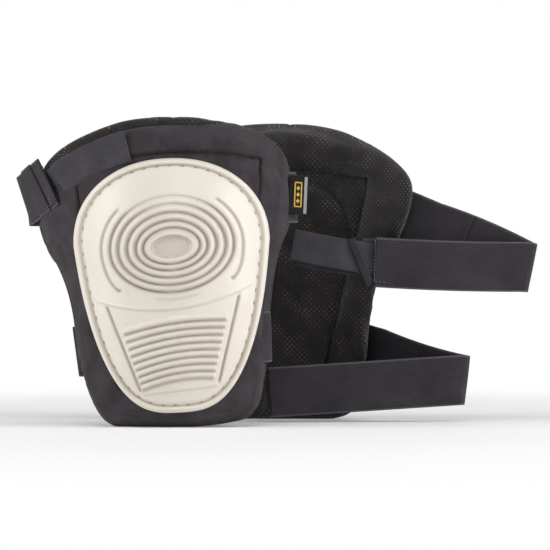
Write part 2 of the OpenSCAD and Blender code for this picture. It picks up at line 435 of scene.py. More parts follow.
def woven_material(name, low, high, pitch_mm, sheen):
    """A plain weave: two threads that cross over and under, mottled and a little fuzzy, with painted
    shade along seams.
    """
    mat, tree, node = shader(name, Roughness=0.85, **{
        "Sheen Weight": sheen, "Sheen Roughness": 0.5, "Specular IOR Level": 0.25,
    })
    g = Graph(tree)
    place, u, v = g.uv_parts()
    odd = g.math("MULTIPLY", g.cosine(u, pitch_mm * 2), g.cosine(v, pitch_mm * 2))
    thread = g.math("MAXIMUM", g.cosine(u, pitch_mm), g.cosine(v, pitch_mm))
    cloth = g.math("MULTIPLY", thread, g.math("ADD", odd, 0.4), clamp=True)
    spots = g.noise(place, 55.0, 5.0)
    fibre = g.noise(place, 2600.0, 3.0)
    tone = g.ramp(spots, [(0.32, low), (0.68, high)])
    dark = tuple(c * 0.62 for c in low)
    colour = g.mix(g.math("MULTIPLY_ADD", cloth, 0.5, 0.5), dark, tone)
    # painted shade where the dip attribute marks a seam
    g.link(g.shaded(colour, dark), node.inputs["Base Color"])
    fold = g.bump(g.noise(place, 40.0, 2.0), 0.25, 1.2)
    soft = g.bump(fibre, 0.25, 0.15, fold)
    g.link(g.bump(cloth, 0.6, 0.25, soft), node.inputs["Normal"])
    return mat


def elastic_material(name, low, high):
    """Knitted elastic: fine ribs across the band and a flatter line along each edge."""
    mat, tree, node = shader(name, Roughness=0.8, **{
        "Sheen Weight": 0.08, "Sheen Roughness": 0.45, "Specular IOR Level": 0.25,
    })
    g = Graph(tree)
    place, u, v = g.uv_parts()
    knit = g.math(
        "MULTIPLY", g.cosine(v, 1.3), g.math("ADD", g.cosine(u, 0.9), 0.6), clamp=True
    )
    cross = g.noise(place, 30.0, 3.0)
    tone = g.ramp(cross, [(0.3, low), (0.7, high)])
    dark = tuple(c * 0.6 for c in low)
    colour = g.mix(g.math("MULTIPLY_ADD", knit, 0.45, 0.55), dark, tone)
    edge = g.math("GREATER_THAN", g.math("ABSOLUTE", v), (STRAP_W / 2 - 1.4) * MM)
    pale = tuple(min(1, c * 2.6) for c in high)
    g.link(g.mix(g.math("MULTIPLY", edge, 0.55), colour, pale), node.inputs["Base Color"])
    fold = g.bump(g.noise(place, 26.0, 2.0), 0.35, 1.6)
    g.link(g.bump(knit, 0.7, 0.3, fold), node.inputs["Normal"])
    return mat


def mesh_material():
    """Brushed air mesh: a dark knit with rows of small pale dots, with painted shade along seams."""
    mat, tree, node = shader("lining_mesh", Roughness=0.9, **{
        "Sheen Weight": 0.16, "Sheen Roughness": 0.6, "Specular IOR Level": 0.2,
    })
    g = Graph(tree)
    place, u, v = g.uv_parts()
    pitch = 4.2
    one = g.cosine(g.math("ADD", u, v), pitch)
    two = g.cosine(g.math("SUBTRACT", u, v), pitch)
    lattice = g.math("MULTIPLY", one, two)
    limit = g.math("MULTIPLY_ADD", g.noise(place, 48.0, 5.0, 0.65), -1.5, 1.62)
    dots = g.math("MULTIPLY", g.math("SUBTRACT", lattice, limit), 7.0, clamp=True)
    low, high = (0.011, 0.0095, 0.009), (0.027, 0.023, 0.022)
    tone = g.ramp(g.noise(place, 45.0, 4.0), [(0.3, low), (0.7, high)])
    dotted = g.mix(g.math("MULTIPLY", dots, 0.85), tone, (0.20, 0.175, 0.16))
    # painted shade where the dip attribute marks the seam or the cushion's edge
    g.link(g.shaded(dotted, low), node.inputs["Base Color"])
    knit = g.math("MULTIPLY", g.cosine(u, 0.9), g.cosine(v, 0.9))
    fold = g.bump(g.noise(place, 60.0, 3.0), 0.4, 1.2)
    fuzz = g.bump(knit, 0.5, 0.25, fold)
    g.link(g.bump(dots, 0.5, 0.3, fuzz), node.inputs["Normal"])
    return mat


def thread_material(name, colour):
    """Twisted sewing thread."""
    mat, tree, node = shader(name, Roughness=0.6, **{"Sheen Weight": 0.2})
    g = Graph(tree)
    place = g.add("ShaderNodeTexCoord").outputs["Object"]
    strands = g.noise(place, 1500.0, 2.0)
    low = tuple(c * 0.6 for c in colour)
    g.link(g.ramp(strands, [(0.35, low), (0.65, colour)]), node.inputs["Base Color"])
    g.link(g.bump(strands, 0.5, 0.2), node.inputs["Normal"])
    return mat


MATERIALS = {
    "cap": cap_material(),
    "shell": woven_material("shell_fabric", (0.029, 0.0245, 0.028), (0.058, 0.048, 0.056), 0.9, 0.06),
    "tab": woven_material("hook_tape", (0.040, 0.0375, 0.044), (0.068, 0.063, 0.075), 1.1, 0.08),
    "tag": woven_material("tag_fabric", (0.006, 0.005, 0.005), (0.012, 0.010, 0.010), 0.5, 0.1),
    "elastic": elastic_material("elastic", (0.026, 0.023, 0.028), (0.046, 0.041, 0.049)),
    "lining": mesh_material(),
    "cap_thread": thread_material("cap_thread", (0.36, 0.31, 0.24)),
    "dark_thread": thread_material("dark_thread", (0.010, 0.010, 0.011)),
    "grey_thread": thread_material("grey_thread", (0.17, 0.16, 0.165)),
    "gold_thread": thread_material("gold_thread", (0.72, 0.47, 0.05)),
    "pale_thread": thread_material("pale_thread", (0.34, 0.35, 0.35)),
}


# ---------------------------------------------------------------- the cap

CAP_POINTS = 520                                # points around the cap
RIM_BAND = 11.0                                 # the rolled rim and the sewn groove inside it
RING_GROOVES = [21.0, 27.2, 34.0, 41.0, 47.8]   # half widths of the ring grooves
ARC_GROOVE = 55.0                               # and of the two side arcs outside them
OVAL_HALF, ROLL_HALF = 14.9, 17.5               # and of the recessed oval and the roll round it
RELIEF_TURN = math.radians(3.8)
RIBS = 9
CAP_STITCH_PITCH = 10.0


def cap_radius(z):
    s = np.clip(np.where(z > 0, z / CAP_UP, -z / CAP_DOWN), 0, 1)
    return CAP_END_R + (CAP_MID_R - CAP_END_R) * (1 - s ** 2.2) ** 0.8


def cap_depth(x, z):
    """Depth of the cap's plain face."""
    r = cap_radius(z)
    return CAP_MID_R - CAP_DOME - np.sqrt(np.maximum(r * r - x * x, 1.0))


def cap_skin(p):
    """The points of the cap's plain face over (x, z) points, and the directions out of it."""
    y = cap_depth(p[:, 0], p[:, 1])
    out = np.stack([p[:, 0], y - (CAP_MID_R - CAP_DOME), 0 * y], 1)
    return np.stack([p[:, 0], y, p[:, 1]], 1), out / np.linalg.norm(out, axis=1, keepdims=True)


def bell(distance, half_width):
    return np.exp(-np.abs(distance / half_width) ** 2)


def roll(distance, half_width):
    """The height of a half round, 1 high in its middle."""
    return np.sqrt(np.clip(1 - (distance / half_width) ** 2, 0, 1))


def ring_size(x, z):
    """Half width of the oval ring that passes through a point."""
    slope, base = np.where(z > 0, 0.929, 0.803), np.where(z > 0, 14.5, 13.3)
    a = np.hypot(x, z * 1.4) + 1.0
    for _ in range(24):
        h = np.maximum(base + slope * (a - 21.3), 0.45 * a)
        a = 0.5 * a + 0.5 * np.sqrt(x * x + (z * a / h) ** 2)
    return a


def segment(x, z, p, q):
    """Distance from a line, the place along it from 0 to 1, and its length."""
    px, pz = p
    dx, dz = q[0] - px, q[1] - pz
    size = math.hypot(dx, dz)
    along = ((x - px) * dx + (z - pz) * dz) / size ** 2
    return ((x - px) * dz - (z - pz) * dx) / size, along, size


# Each part of the moulded pattern gives a height over the plain face, and a dip from 0 to 1
# that says how much a point lies down in a groove; the cap's material paints shade from the dip.

def cap_rings(rz, size, face):
    """Ridges between the ring grooves, fainter towards the top, and inside them the recessed
    oval with the thick rolled ring around it. Its dip paints shade in the grooves and over the oval."""
    index = np.interp(size, [14.0] + RING_GROOVES + [54.0, 80.0], [-1, 0, 1, 2, 3, 4, 5, 5])
    faint = 1 - 0.62 * smooth((rz - 22) / 18)
    ridge = np.abs(np.sin(math.pi * index)) ** 0.75
    ringed = smooth((size - 20.5) / 1.0) * smooth((49.5 - size) / 1.6)
    h = (2.5 * ridge - 1.3) * ringed * faint
    dip = 0.9 * bell(size - RING_GROOVES[0], 1.9)
    for groove in RING_GROOVES[1:]:
        dip = np.maximum(dip, 0.9 * bell(size - groove, 1.9) * faint)
    h -= 0.55 * bell(size - RING_GROOVES[-1], 1.3) * faint
    crest = np.maximum(face + CAP_DOME + 0.7, 1.2)
    h = h * smooth((size - 20) / 1.2) + roll(size - ROLL_HALF, 3.4) * crest
    floor = face + CAP_DOME - 1.2
    h = h + (floor - h) * smooth((OVAL_HALF - 0.2 - size) / 0.9)
    # painted shade over the recessed oval's floor, darker still at its edge
    dip = np.maximum(dip, 0.42 * smooth((OVAL_HALF - size) / 0.8))
    return h, np.maximum(dip, 0.8 * bell(size - OVAL_HALF, 0.9))


def cap_arcs(rx, rz, size):
    """Two side arcs that end in dots, and a trace of the same ring at the bottom, with painted shade
    in them.
    """
    angle = np.degrees(np.arctan2(rz, np.abs(rx)))
    window = smooth((angle + 35) / 2) * smooth((45 - angle) / 7)
    window = np.maximum(window, 0.4 * smooth((-angle - 60) / 12))
    spread = 4.2 * smooth((-angle - 4) / 30) * (angle > -50)
    dip = bell(size - ARC_GROOVE - spread, 1.15) * window
    h = -0.95 * dip
    h += 0.35 * bell(size - 51.5, 2.2) * smooth((angle + 34) / 8) * smooth((50 - angle) / 10)
    for side in (-1, 1):
        dot = bell(np.hypot(rx - side * 43.9, rz + 28.9), 1.5)
        h -= 0.8 * dot
        dip = np.maximum(dip, dot)
    return h, dip


def cap_sweep(above, inset):
    """The fine raised line that sweeps under the rings, with the lower face a little behind and
    painted shade just under the line.
    """
    inner = smooth((inset - 8.5) / 3)
    h = 0.42 * bell(above, 0.85) - 0.30 * smooth(-above / 1.5)
    return h * inner, 0.35 * bell(above + 1.6, 0.8) * inner


def cap_channels(x, z, above, inset):
    """Two long grooves, with a raised strip outside each, and a raised line at their feet; painted
    shade lies in the grooves and just under the line.
    """
    strip = 0.55 * smooth((-above - 1) / 2) * smooth((inset - 9.5) / 3)
    h, dip = 0.0, 0.0
    for p, q, side in (((-52.1, -46.5), (-28.2, -115), -1), ((51, -42.5), (31.8, -110.6), 1)):
        across, along, length = segment(x, z, p, q)
        ends = smooth(along * length / 2) * smooth((1 - along) * length / 2)
        h = h - 1.2 * bell(across, 0.8) * ends
        h = h + strip * smooth(-across * side / 1.6) * smooth((1.02 - along) * 30)
        dip = np.maximum(dip, bell(across, 0.85) * ends)
    across, along, length = segment(x, z, (-27.4, -115.6), (31.6, -111.2))
    ends = smooth(along * length / 1.5) * smooth((1 - along) * length / 1.5)
    h = h + 0.55 * bell(across, 0.7) * ends
    return h, np.maximum(dip, 0.4 * bell(across - 1.4, 0.7) * ends)


def cap_ribs(x, z):
    """Arched, rounded ribs that narrow downwards, with a groove and painted shade under each."""
    h, dip = 0.0, 0.0
    for i in range(RIBS):
        f = i / (RIBS - 1)
        arch = -58.8 - 44.2 * f - (0.0023 + 0.0024 * f) * (x - 22 + 8 * f) ** 2
        past = np.maximum(np.abs(x - 0.5) - (38.6 - 12 * f), 0)
        under = np.hypot(z - arch + 2.75, past)
        h = h + 1.9 * roll(np.hypot(z - arch, past), 2.25) - 0.35 * bell(under, 0.9)
        dip = np.maximum(dip, 0.8 * bell(under, 1.35))
    return h, dip


def cap_rim(inset):
    """The rolled rim, then the sewn groove inside it, with painted shade in the groove."""
    h = 1.8 * roll(inset - 2.1, 2.3) - 1.2 * bell(inset - 5.7, 1.2)
    return h, 0.85 * bell(inset - 5.0, 0.8)


def cap_relief(x, z, inset):
    """Height and dip of the whole moulded pattern; the dip is where the cap's material paints shade.
    """
    c, s = math.cos(RELIEF_TURN), math.sin(RELIEF_TURN)
    rx = (x - OVAL_X) * c + (z - OVAL_Z) * s
    rz = -(x - OVAL_X) * s + (z - OVAL_Z) * c
    size = ring_size(rx, rz)
    above = z - (-50.8 + 0.058 * x + 0.00335 * x * x)
    parts = [
        cap_rings(rz, size, cap_depth(x, z)), cap_arcs(rx, rz, size), cap_sweep(above, inset),
        cap_channels(x, z, above, inset), cap_ribs(x, z), cap_rim(inset),
    ]
    dip = np.max([part_dip for _, part_dip in parts], axis=0)
    return sum(part_h for part_h, _ in parts), np.clip(dip, 0, 1)


def closed_line(line):
    """A closed outline's length, and a function that gives its points at given distances."""
    step = np.linalg.norm(np.roll(line, -1, 0) - line, axis=1)
    run = np.concatenate([[0], np.cumsum(step)])
    closed = np.vstack([line, line[:1]])
    return run[-1], lambda at: np.stack([np.interp(at, run, closed[:, k]) for k in (0, 1)], 1)


def cap_face(middle, spoke, far):
    """Rings of points over the patterned face, outermost first, and their dips."""
    shares = [1 - inset / far for inset in np.linspace(0, RIM_BAND, 15)]
    shares += [(1 - RIM_BAND / far) * (1 - 0.995 * t) for t in np.linspace(0, 1, 118)[1:]]
    rings, dips = [], []
    for share in shares:
        p = middle + spoke * share[:, None]
        h, dip = cap_relief(p[:, 0], p[:, 1], far * (1 - share))
        skin, out = cap_skin(p)
        rings.append(skin + out * h[:, None])
        dips.append(dip)
    return rings, dips


def cap_back(edge, middle, spoke, far):
    """The rings of the edge, which turns back to the fabric and in under itself, and of the
    back, which follows the fabric to the middle."""
    edge_y = cap_depth(edge[:, 0], edge[:, 1])
    rings = []
    for drop, tuck in ((1.3, -0.35), (2.9, -0.25), (4.2, 0.6), (4.2, 6.0)):
        p = middle + spoke * (1 - tuck / far)[:, None]
        ring = behind(p[:, 0], p[:, 1], -0.2)
        ring[:, 1] = np.minimum(edge_y + drop, ring[:, 1])
        rings.append(ring)
    for share in np.linspace(0.85, 0.01, 12):
        p = middle + spoke * share
        rings.append(behind(p[:, 0], p[:, 1], -0.2))
    return rings[::-1]


def cap_moulding(pad):
    """The cap's moulding: its patterned face, its rolled edge and its back."""
    turns = 2 * math.pi * np.arange(CAP_POINTS) / CAP_POINTS
    length, point_at = closed_line(np.stack(cap_edge(turns), 1))
    edge = point_at(np.arange(CAP_POINTS) * length / CAP_POINTS)
    middle = np.array([OVAL_X, OVAL_Z])
    spoke = edge - middle
    far = np.linalg.norm(spoke, axis=1)
    face, dips = cap_face(middle, spoke, far)
    back = cap_back(edge, middle, spoke, far)
    centre = np.array([OVAL_X, -CAP_DOME + 1.2, OVAL_Z])
    points, faces = disc(np.array(back + face), centre, flip=pad.flip < 0)
    closing = list(range(CAP_POINTS))
    faces.append(closing if pad.flip < 0 else closing[::-1])
    dips = np.concatenate([np.zeros(CAP_POINTS * len(back)), *dips, [0.5]])
    uv = points[:, [0, 2]] * MM
    return new_mesh(pad.name("cap_moulding"), pad.place(points), faces, uv, dips=dips)


def cap_stitches(pad):
    """The stitches in the groove along the cap's edge."""
    edge = np.stack(cap_edge(np.linspace(0, 2 * math.pi, 1441)[:-1]), 1)
    middle = np.array([0.0, OVAL_Z])
    spoke = edge - middle
    far = np.linalg.norm(spoke, axis=1)
    length, point_at = closed_line(middle + spoke * (1 - 5.8 / far)[:, None])
    total = round(length / CAP_STITCH_PITCH)
    at = np.arange(total) * length / total
    here, out = cap_skin(point_at(at))
    there, _ = cap_skin(point_at((at + 1) % length))
    return stitches(pad.name("cap_thread"), here - out * 0.75, there - here, out,
                    (3.4, 0.9, 0.8), pad)


def make_cap(pad):
    """The cap, which takes in the foam behind it, and its stitches."""
    dress(cap_moulding(pad), MATERIALS["cap"], pad.body,
          [pad.name("cap"), pad.name("cap_foam")])
    dress(cap_stitches(pad), MATERIALS["cap_thread"], pad.body,
          [pad.name("cap_stitching")])


# ---------------------------------------------------------------- the padded shell

TURNS = 2 * math.pi * np.arange(320) / 320
RAY = np.stack([np.cos(TURNS), np.sin(TURNS)], 1)
FRONT_EDGE = reach(PAD_CORNERS, 4, TURNS)
FRONT_SEAM = reach(FRONT_SEAM_CORNERS, 2, TURNS)
LINING_SEAM = reach(LINING_SEAM_CORNERS, 2, TURNS)
CUSHION_EDGE = reach(CUSHION_CORNERS, 3, TURNS)
LINING_EDGE = {
    "right": FRONT_EDGE - 1.2 * (RAY[:, 0] > -0.2) * (RAY[:, 1] < 0.75),
    "left": reach(SPREAD_CORNERS, 4, TURNS),
}


def lip():
    """How far the lining stands out past the front fabric: only along the top and its left."""
    x = RAY[:, 0] * FRONT_EDGE
    return 6.0 * smooth((RAY[:, 1] - 0.3) / 0.3) * (1 - smooth((x - 22) / 32))


def pucker(far, amount):
    """Soft unevenness of padded fabric, the same each run."""
    p = HUB + RAY * far[:, None]
    x, z = p[:, 0], p[:, 1]
    wave = np.sin(x / 9.7 + 1.3 * np.sin(z / 17.0)) * np.sin(z / 8.3 + 1.1 * np.sin(x / 13.0))
    wave += 0.6 * np.sin((x + z) / 5.1 + 0.7) * np.sin((x - z) / 6.7)
    return amount * wave


def surface(name, profile, hub_depth, pad, outward):
    """A sheet over the pad from rings (far, depth, dip), outermost first, closed at the hub.
    dip, which may be left out, says how much of a ring lies down in a seam, and so how much painted
    shade it gets."""
    rings, flat, dips = [], [], []
    for far, depth, *dip in profile:
        dips.append(0 * TURNS + (dip[0] if dip else 0.0))
        p = HUB + RAY * (far + 0 * TURNS)[:, None]
        rings.append(behind(p[:, 0], p[:, 1], depth + 0 * TURNS))
        bent = WRAP_R * np.arcsin(np.clip(p[:, 0] / WRAP_R, -0.97, 0.97))
        flat.append(np.stack([bent, p[:, 1]], 1))
    centre = behind(HUB[0:1], HUB[1:2], np.array([hub_depth]))[0]
    flip = (pad.flip > 0) == outward
    points, faces = disc(np.array(rings), centre, flip)
    uv = np.concatenate([np.concatenate(flat), [HUB]]) * MM
    placed = pad.place(points)
    placed[:, 2] = np.maximum(placed[:, 2], FLOOR_M)
    dips = np.append(np.concatenate(dips), 0.0)
    return new_mesh(name, placed, faces, uv, dips=dips)


CLOTH_FRAMES = 20


def places_of(mesh):
    """The places of a mesh's points, in metres."""
    flat = np.empty(len(mesh.vertices) * 3)
    mesh.vertices.foreach_get("co", flat)
    return flat.reshape(-1, 3)


def puff(obj, held, pressure, limit_mm):
    """Lets cloth under pressure shape a sheet, by no more than limit_mm, while the held points
    stay on their seams."""
    scene = bpy.context.scene
    group = obj.vertex_groups.new(name="seams")
    group.add([int(i) for i in held], 1.0, "REPLACE")
    mod = obj.modifiers.new("cloth", "CLOTH")
    cloth = mod.settings
    cloth.vertex_group_mass = "seams"
    cloth.quality = 4
    cloth.mass = 0.25
    cloth.tension_stiffness = cloth.compression_stiffness = 12
    cloth.shear_stiffness = 4
    cloth.bending_stiffness = 0.4
    cloth.use_pressure = True
    cloth.uniform_pressure_force = pressure
    cloth.shrink_min = -0.02
    cloth.effector_weights.gravity = 0
    scene.frame_start, scene.frame_end = 1, CLOTH_FRAMES
    for frame_number in range(1, CLOTH_FRAMES + 1):
        scene.frame_set(frame_number)
    before = places_of(obj.data)
    shaped = obj.evaluated_get(bpy.context.evaluated_depsgraph_get())
    move = places_of(shaped.to_mesh()) - before
    obj.modifiers.remove(mod)
    obj.vertex_groups.remove(group)
    scene.frame_set(1)
    size = np.linalg.norm(move, axis=1, keepdims=True) + 1e-9
    move *= np.minimum(1.0, limit_mm * MM / size)
    after = before + move
    after[:, 2] = np.maximum(after[:, 2], FLOOR_M)
    obj.data.vertices.foreach_set("co", after.ravel())
    obj.data.update()


def ring_numbers(*rings):
    """The numbers of the points on some of a surface's rings."""
    count = len(TURNS)
    return np.concatenate([np.arange(r * count, (r + 1) * count) for r in rings])


def tab_line(t):
    """The middle of the right pad's front tab, from its loose end to its far end."""
    t = np.asarray(t, float)[..., None]
    a, b, c = (np.array(v) for v in ((-86.5, 53.9), (-56.8, 70.0), (-29.8, 75.6)))
    return a * (1 - t) ** 2 + 2 * b * t * (1 - t) + c * t * t


def under_tab(far, pad):
    """1 where the front fabric is pressed flat under the right pad's tab, 0 away from it."""
    if pad.side == "left":
        return 0.0
    p = HUB + RAY * far[:, None]
    line = np.concatenate([[(-92.0, 30.0), (-97.0, 47.0)], tab_line(np.linspace(0, 1, 12))])
    away = np.min(np.linalg.norm(p[:, None] - line[None], axis=2), axis=1)
    return smooth((24 - away) / 8)


def front_profile(pad):
    """The front fabric: a puffed margin, the framing seam, then flat under the cap, with painted
    shade along the seam from its dip.
    """
    turn_in, edge_depth, seam_depth, seam_dip = 8.5, 11.0, 1.9, 0.65
    rim = FRONT_EDGE - lip()
    rings = []
    for a in np.linspace(0, 1, 14) * math.pi / 2:
        rings.append((rim - turn_in * (1 - math.cos(a)), edge_depth * (1 - math.sin(a))))
    start = rim - turn_in
    for t in np.linspace(0, 1, 18)[1:]:
        far = start + (FRONT_SEAM - start) * t
        loose = math.sin(math.pi * t) ** 0.8 * (1 - under_tab(far, pad))
        depth = seam_depth * bell(1 - t, 0.09) + (pucker(far, 0.2) - 1.3) * loose
        # the third value paints shade along the framing seam
        rings.append((far, depth, seam_dip * bell(1 - t, 0.17)))
    seam = len(rings) - 1
    for t in np.linspace(0, 0.45, 14)[1:]:
        far = FRONT_SEAM * (1 - t)
        rings.append((far, seam_depth * bell(t, 0.022) + 0.1, seam_dip * bell(t, 0.035)))
    rings.append((FRONT_SEAM * 0.25, 0.1))
    return rings, seam


def make_front(pad):
    """The front fabric, held by cloth simulation at its edge, at its seam, under the tab and
    under the cap."""
    profile, seam = front_profile(pad)
    obj = surface(pad.name("front_fabric"), profile, 0.1, pad, True)
    count = len(TURNS)
    pressed = np.concatenate([
        np.flatnonzero(np.broadcast_to(under_tab(far, pad), TURNS.shape) > 0.3) + k * count
        for k, (far, *_) in enumerate(profile)
    ])
    under_cap = np.arange((seam + 4) * count, len(profile) * count + 1)
    held = np.concatenate([ring_numbers(0, 1, seam), under_cap, pressed])
    puff(obj, held, 1.0, 1.1)
    make_solid(obj, 1.4)
    dress(obj, MATERIALS["shell"], pad.body,
          [pad.name("front_shell"), pad.name("foam_core")])
    return obj


def lining_profile(pad):
    """The lining: a fat rolled rim, the seam inside it, then a flatter panel to the cushion, with
    painted shade along the seam and along the cushion's edge.
    """
    edge = LINING_EDGE[pad.side]
    high = smooth((HUB[1] + edge * RAY[:, 1] + 25) / 50)
    crest = 21.5 + 4.2 * high
    fat = 9.0 + 4.0 * high
    rim = np.minimum(FRONT_EDGE - lip(), edge) - 0.8
    rings = [(rim, 11.2), (rim + (edge - rim) * 0.5, 11.6)]
    for t in np.linspace(0, 1, 16):
        a = math.radians(-20 + 110 * t)
        rings.append((edge - fat * (1 - math.cos(a)), 14.5 + (crest - 14.5) * math.sin(a)))
    width = edge - fat - LINING_SEAM
    for t in np.linspace(0, 1, 22)[1:]:
        b = t * math.pi / 2
        far = edge - fat - width * math.sin(b) ** 1.1
        drop = (crest - 14.4) * (1 - math.cos(b)) ** 1.25
        depth = crest - drop + pucker(far, 0.3) * math.sin(math.pi * t)
        # the third value paints shade along the lining's seam
        rings.append((far, depth, bell(1 - t, 0.07)))
    seam = len(rings) - 1
    for t in np.linspace(0, 1, 16)[1:]:
        far = LINING_SEAM + (CUSHION_EDGE - LINING_SEAM) * t
        puffed = 1.9 * np.sin(math.pi * t) ** 0.6 * np.clip((LINING_SEAM - CUSHION_EDGE) / 12, 0.1, 1)
        low = 14.9 - 0.5 * bell(t, 0.1)
        # painted shade along the seam and the cushion's edge
        dip = np.maximum(bell(t, 0.12), bell(1 - t, 0.16))
        rings.append((far, low + puffed + pucker(far, 0.12) * math.sin(math.pi * t), dip))
    cushion = len(rings) - 1
    for t in (0.1, 0.4, 0.7):
        rings.append((CUSHION_EDGE * (1 - t), 14.9))
    return rings, seam, cushion


def make_lining(pad):
    """The mesh lining, held at its edge, at its seam and under the cushion."""
    profile, seam, cushion = lining_profile(pad)
    obj = surface(pad.name("lining_fabric"), profile, 14.9, pad, False)
    count = len(TURNS)
    held = np.concatenate([
        ring_numbers(0, 1, 2, seam), np.arange(cushion * count, len(profile) * count + 1),
    ])
    puff(obj, held, 1.5, 2.0)
    make_solid(obj, 1.2)
    dress(obj, MATERIALS["lining"], pad.body,
          [pad.name("lining_panel"), pad.name("bolster")])
    return obj


def make_cushion(pad):
    """The tombstone-shaped knee cushion, crowned and pulled in along its seam, with painted shade
    round its foot.
    """
    rings = [(CUSHION_EDGE - 1.6, 14.8)]
    for t in np.linspace(0, 1, 14):
        a = t * math.pi / 2
        # the third value is the dip: painted shade round the cushion's foot
        rings.append((CUSHION_EDGE + 0.4 - 13.0 * (1 - math.cos(a)),
                      15.0 + 8.5 * math.sin(a) ** 0.9, math.exp(-(t / 0.2) ** 2)))
    for t in np.linspace(0, 1, 22)[1:]:
        far = (CUSHION_EDGE - 12.6) * (1 - 0.93 * t)
        rings.append((far, 23.5 + 2.6 * math.sin(t * math.pi / 2) + pucker(far, 0.25)))
    obj = surface(pad.name("cushion_cover"), rings, 26.1, pad, False)
    puff(obj, ring_numbers(0, 1), 1.5, 1.5)
    make_solid(obj, 1.2)
    dress(obj, MATERIALS["lining"], pad.body,
          [pad.name("knee_cushion")])
    return obj


def make_frame_thread(pad):
    """The seam that frames the front margin: a row of long dark stitches."""
    turns = np.radians(np.arange(30, 152, 4.3))
    far = np.interp(turns, TURNS, FRONT_SEAM, period=2 * math.pi)
    p = HUB + np.stack([np.cos(turns), np.sin(turns)], 1) * far[:, None]
    p = p[p[:, 1] > 42]
    here = behind(p[:, 0], p[:, 1], 1.5 + 0 * p[:, 0])
    run = np.gradient(here, axis=0)
    out = here - np.array([0, WRAP_R, 0])
    out[:, 2] = 0
    obj = stitches(pad.name("frame_thread"), here, run, out, (3.8, 1.8, 1.0), pad)
    dress(obj, MATERIALS["dark_thread"], pad.body, [pad.name("seam_thread")])


# ---------------------------------------------------------------- straps

SEAM_PITCH = 2.6                  # the pitch of the stitches at the straps' ends
SEAM_STITCH = (1.9, 0.6, 0.5)     # and their length, width and height


def polyline(points, count):
    """Evenly spread points along a smooth line through points."""
    p = np.asarray(points, float)
    for _ in range(4):
        q = [p[0]]
        for a, b in zip(p[:-1], p[1:]):
            q += [0.75 * a + 0.25 * b, 0.25 * a + 0.75 * b]
        q.append(p[-1])
        p = np.array(q)
    step = np.linalg.norm(np.diff(p, axis=0), axis=1)
    run = np.concatenate([[0], np.cumsum(step)])
    at = np.linspace(0, run[-1], count)
    return np.stack([np.interp(at, run, p[:, k]) for k in range(3)], 1)


def lean_up(degrees):
    """The upward direction that leans by degrees towards +x."""
    t = math.radians(degrees)
    return np.array([math.sin(t), 0.0, math.cos(t)])


def square_up(direction):
    """The upward direction square to a run."""
    d = direction / np.linalg.norm(direction)
    up = np.array([0, 0, 1.0]) - d * d[2]
    return up / np.linalg.norm(up)


def blend_up(a, b, t):
    """Directions that turn from a to b while t goes from 0 to 1."""
    w = smooth(t)[:, None]
    v = a * (1 - w) + b * w
    return v / np.linalg.norm(v, axis=1, keepdims=True)


def folded(start, crease, end, lean, loop=5.9):
    """Centre points and width directions of a band that runs out in +x from start to a crease
    and back to end. crease is the fold's middle; loop is the distance between the two arms."""
    crease = np.asarray(crease, float)
    axis = lean_up(lean)
    side = np.array([1.0, 0, 0]) - axis * axis[0]
    half = np.array([0, loop / 2, 0])
    out = np.linspace(start, crease - half, 50)[:-1]
    turn = np.array([
        crease + side * math.cos(a) * loop * 0.55 + half * math.sin(a)
        for a in np.radians(np.linspace(-90, 90, 14))
    ])
    back = np.linspace(crease + half, end, 60)[1:]
    across = np.concatenate([
        blend_up(square_up(crease - half - start), axis, np.linspace(0, 1, len(out))),
        np.repeat(axis[None], len(turn), 0),
        blend_up(axis, square_up(end - crease - half), np.linspace(0, 1, len(back))),
    ])
    return np.concatenate([out, turn, back]), across


def sag(stretch, amount):
    """Lets a stretch of a band droop a little between its ends."""
    t = np.linspace(0, 1, len(stretch))
    stretch[:, 2] -= amount * 4 * t * (1 - t)


def webbing(name, centre, across, replaces, pad, body=None, thick=STRAP_T, ripple=0.3):
    """A band of the straps' elastic, which stands for nodes of the strap with that name."""
    strap = name.rsplit("_", 1)[0]
    band = ribbon(name, centre, across, STRAP_W, thick, pad, ripple=ripple)
    return dress(band, MATERIALS["elastic"], body,
                 [f"{strap}_{part}" for part in replaces])


def tape(level, word, centre, across, pad, width=TAB_W, material="tab", ripple=0.0):
    """A band of a hook tab: the tape itself or what is sewn to it."""
    band = ribbon(pad.name(f"{level}_{word}"), centre, across, width, TAB_T, pad, ripple=ripple)
    return dress(band, MATERIALS[material],
                 replaces=[pad.name(f"{level}_hook_tab")])


def bend_at(band):
    """Bakes a band's place into its points."""
    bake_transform(band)


def drawn_strap(pad, level, root, crease, end, lean, sags):
    """One strap of the left pad: sewn in at its root, drawn out to the side, folded and led
    back across the lining. root is the first stretch's route."""
    centre, across = folded(np.array(root[-1]), crease, np.array(end), lean)
    first = polyline(root, 12)[:-1]
    centre = np.concatenate([first, centre])
    across = np.concatenate([np.repeat(across[:1], len(first), 0), across])
    for part, amount in sags:
        sag(centre[part], amount)
    strap, arm = f"left_{level}_strap", f"left_{level}_arm"
    cut = 34                      # the point where the root's piece ends and the loop's begins
    inner = webbing(strap + "_root", centre[: cut + 1], across[: cut + 1], ["anchor", "arm"], pad)
    bend_at(inner)
    outer = webbing(strap + "_loop", centre[cut:], across[cut:], ["return"], pad)
    bend_at(outer)


def make_left_upper(pad):
    """The left pad's upper strap, whose return bows down a little."""
    root = [(90.0, 42.0, 28.6), (95.0, 46.0, 26.8), (100.0, 49.2, 24.6), (107.0, 51.8, 21.6)]
    drawn_strap(
        pad, "upper", root, crease=(198.8, 71.4, -18.3), end=(75.8, 76.8, -14.3), lean=11,
        sags=[(slice(20, 60), -2.0), (slice(76, None), 1.0)],
    )


def make_left_lower(pad):
    """The left pad's lower strap, whose arm bows down a little."""
    root = [(67.0, 21.5, -83.8), (71.5, 24.6, -85.2), (75.5, 28.0, -86.4), (80.0, 31.8, -87.6)]
    drawn_strap(
        pad, "lower", root, crease=(146.4, 71.4, -108.6), end=(-9.0, 77.0, -118.6), lean=6,
        sags=[(slice(12, 60), 1.8)],
    )


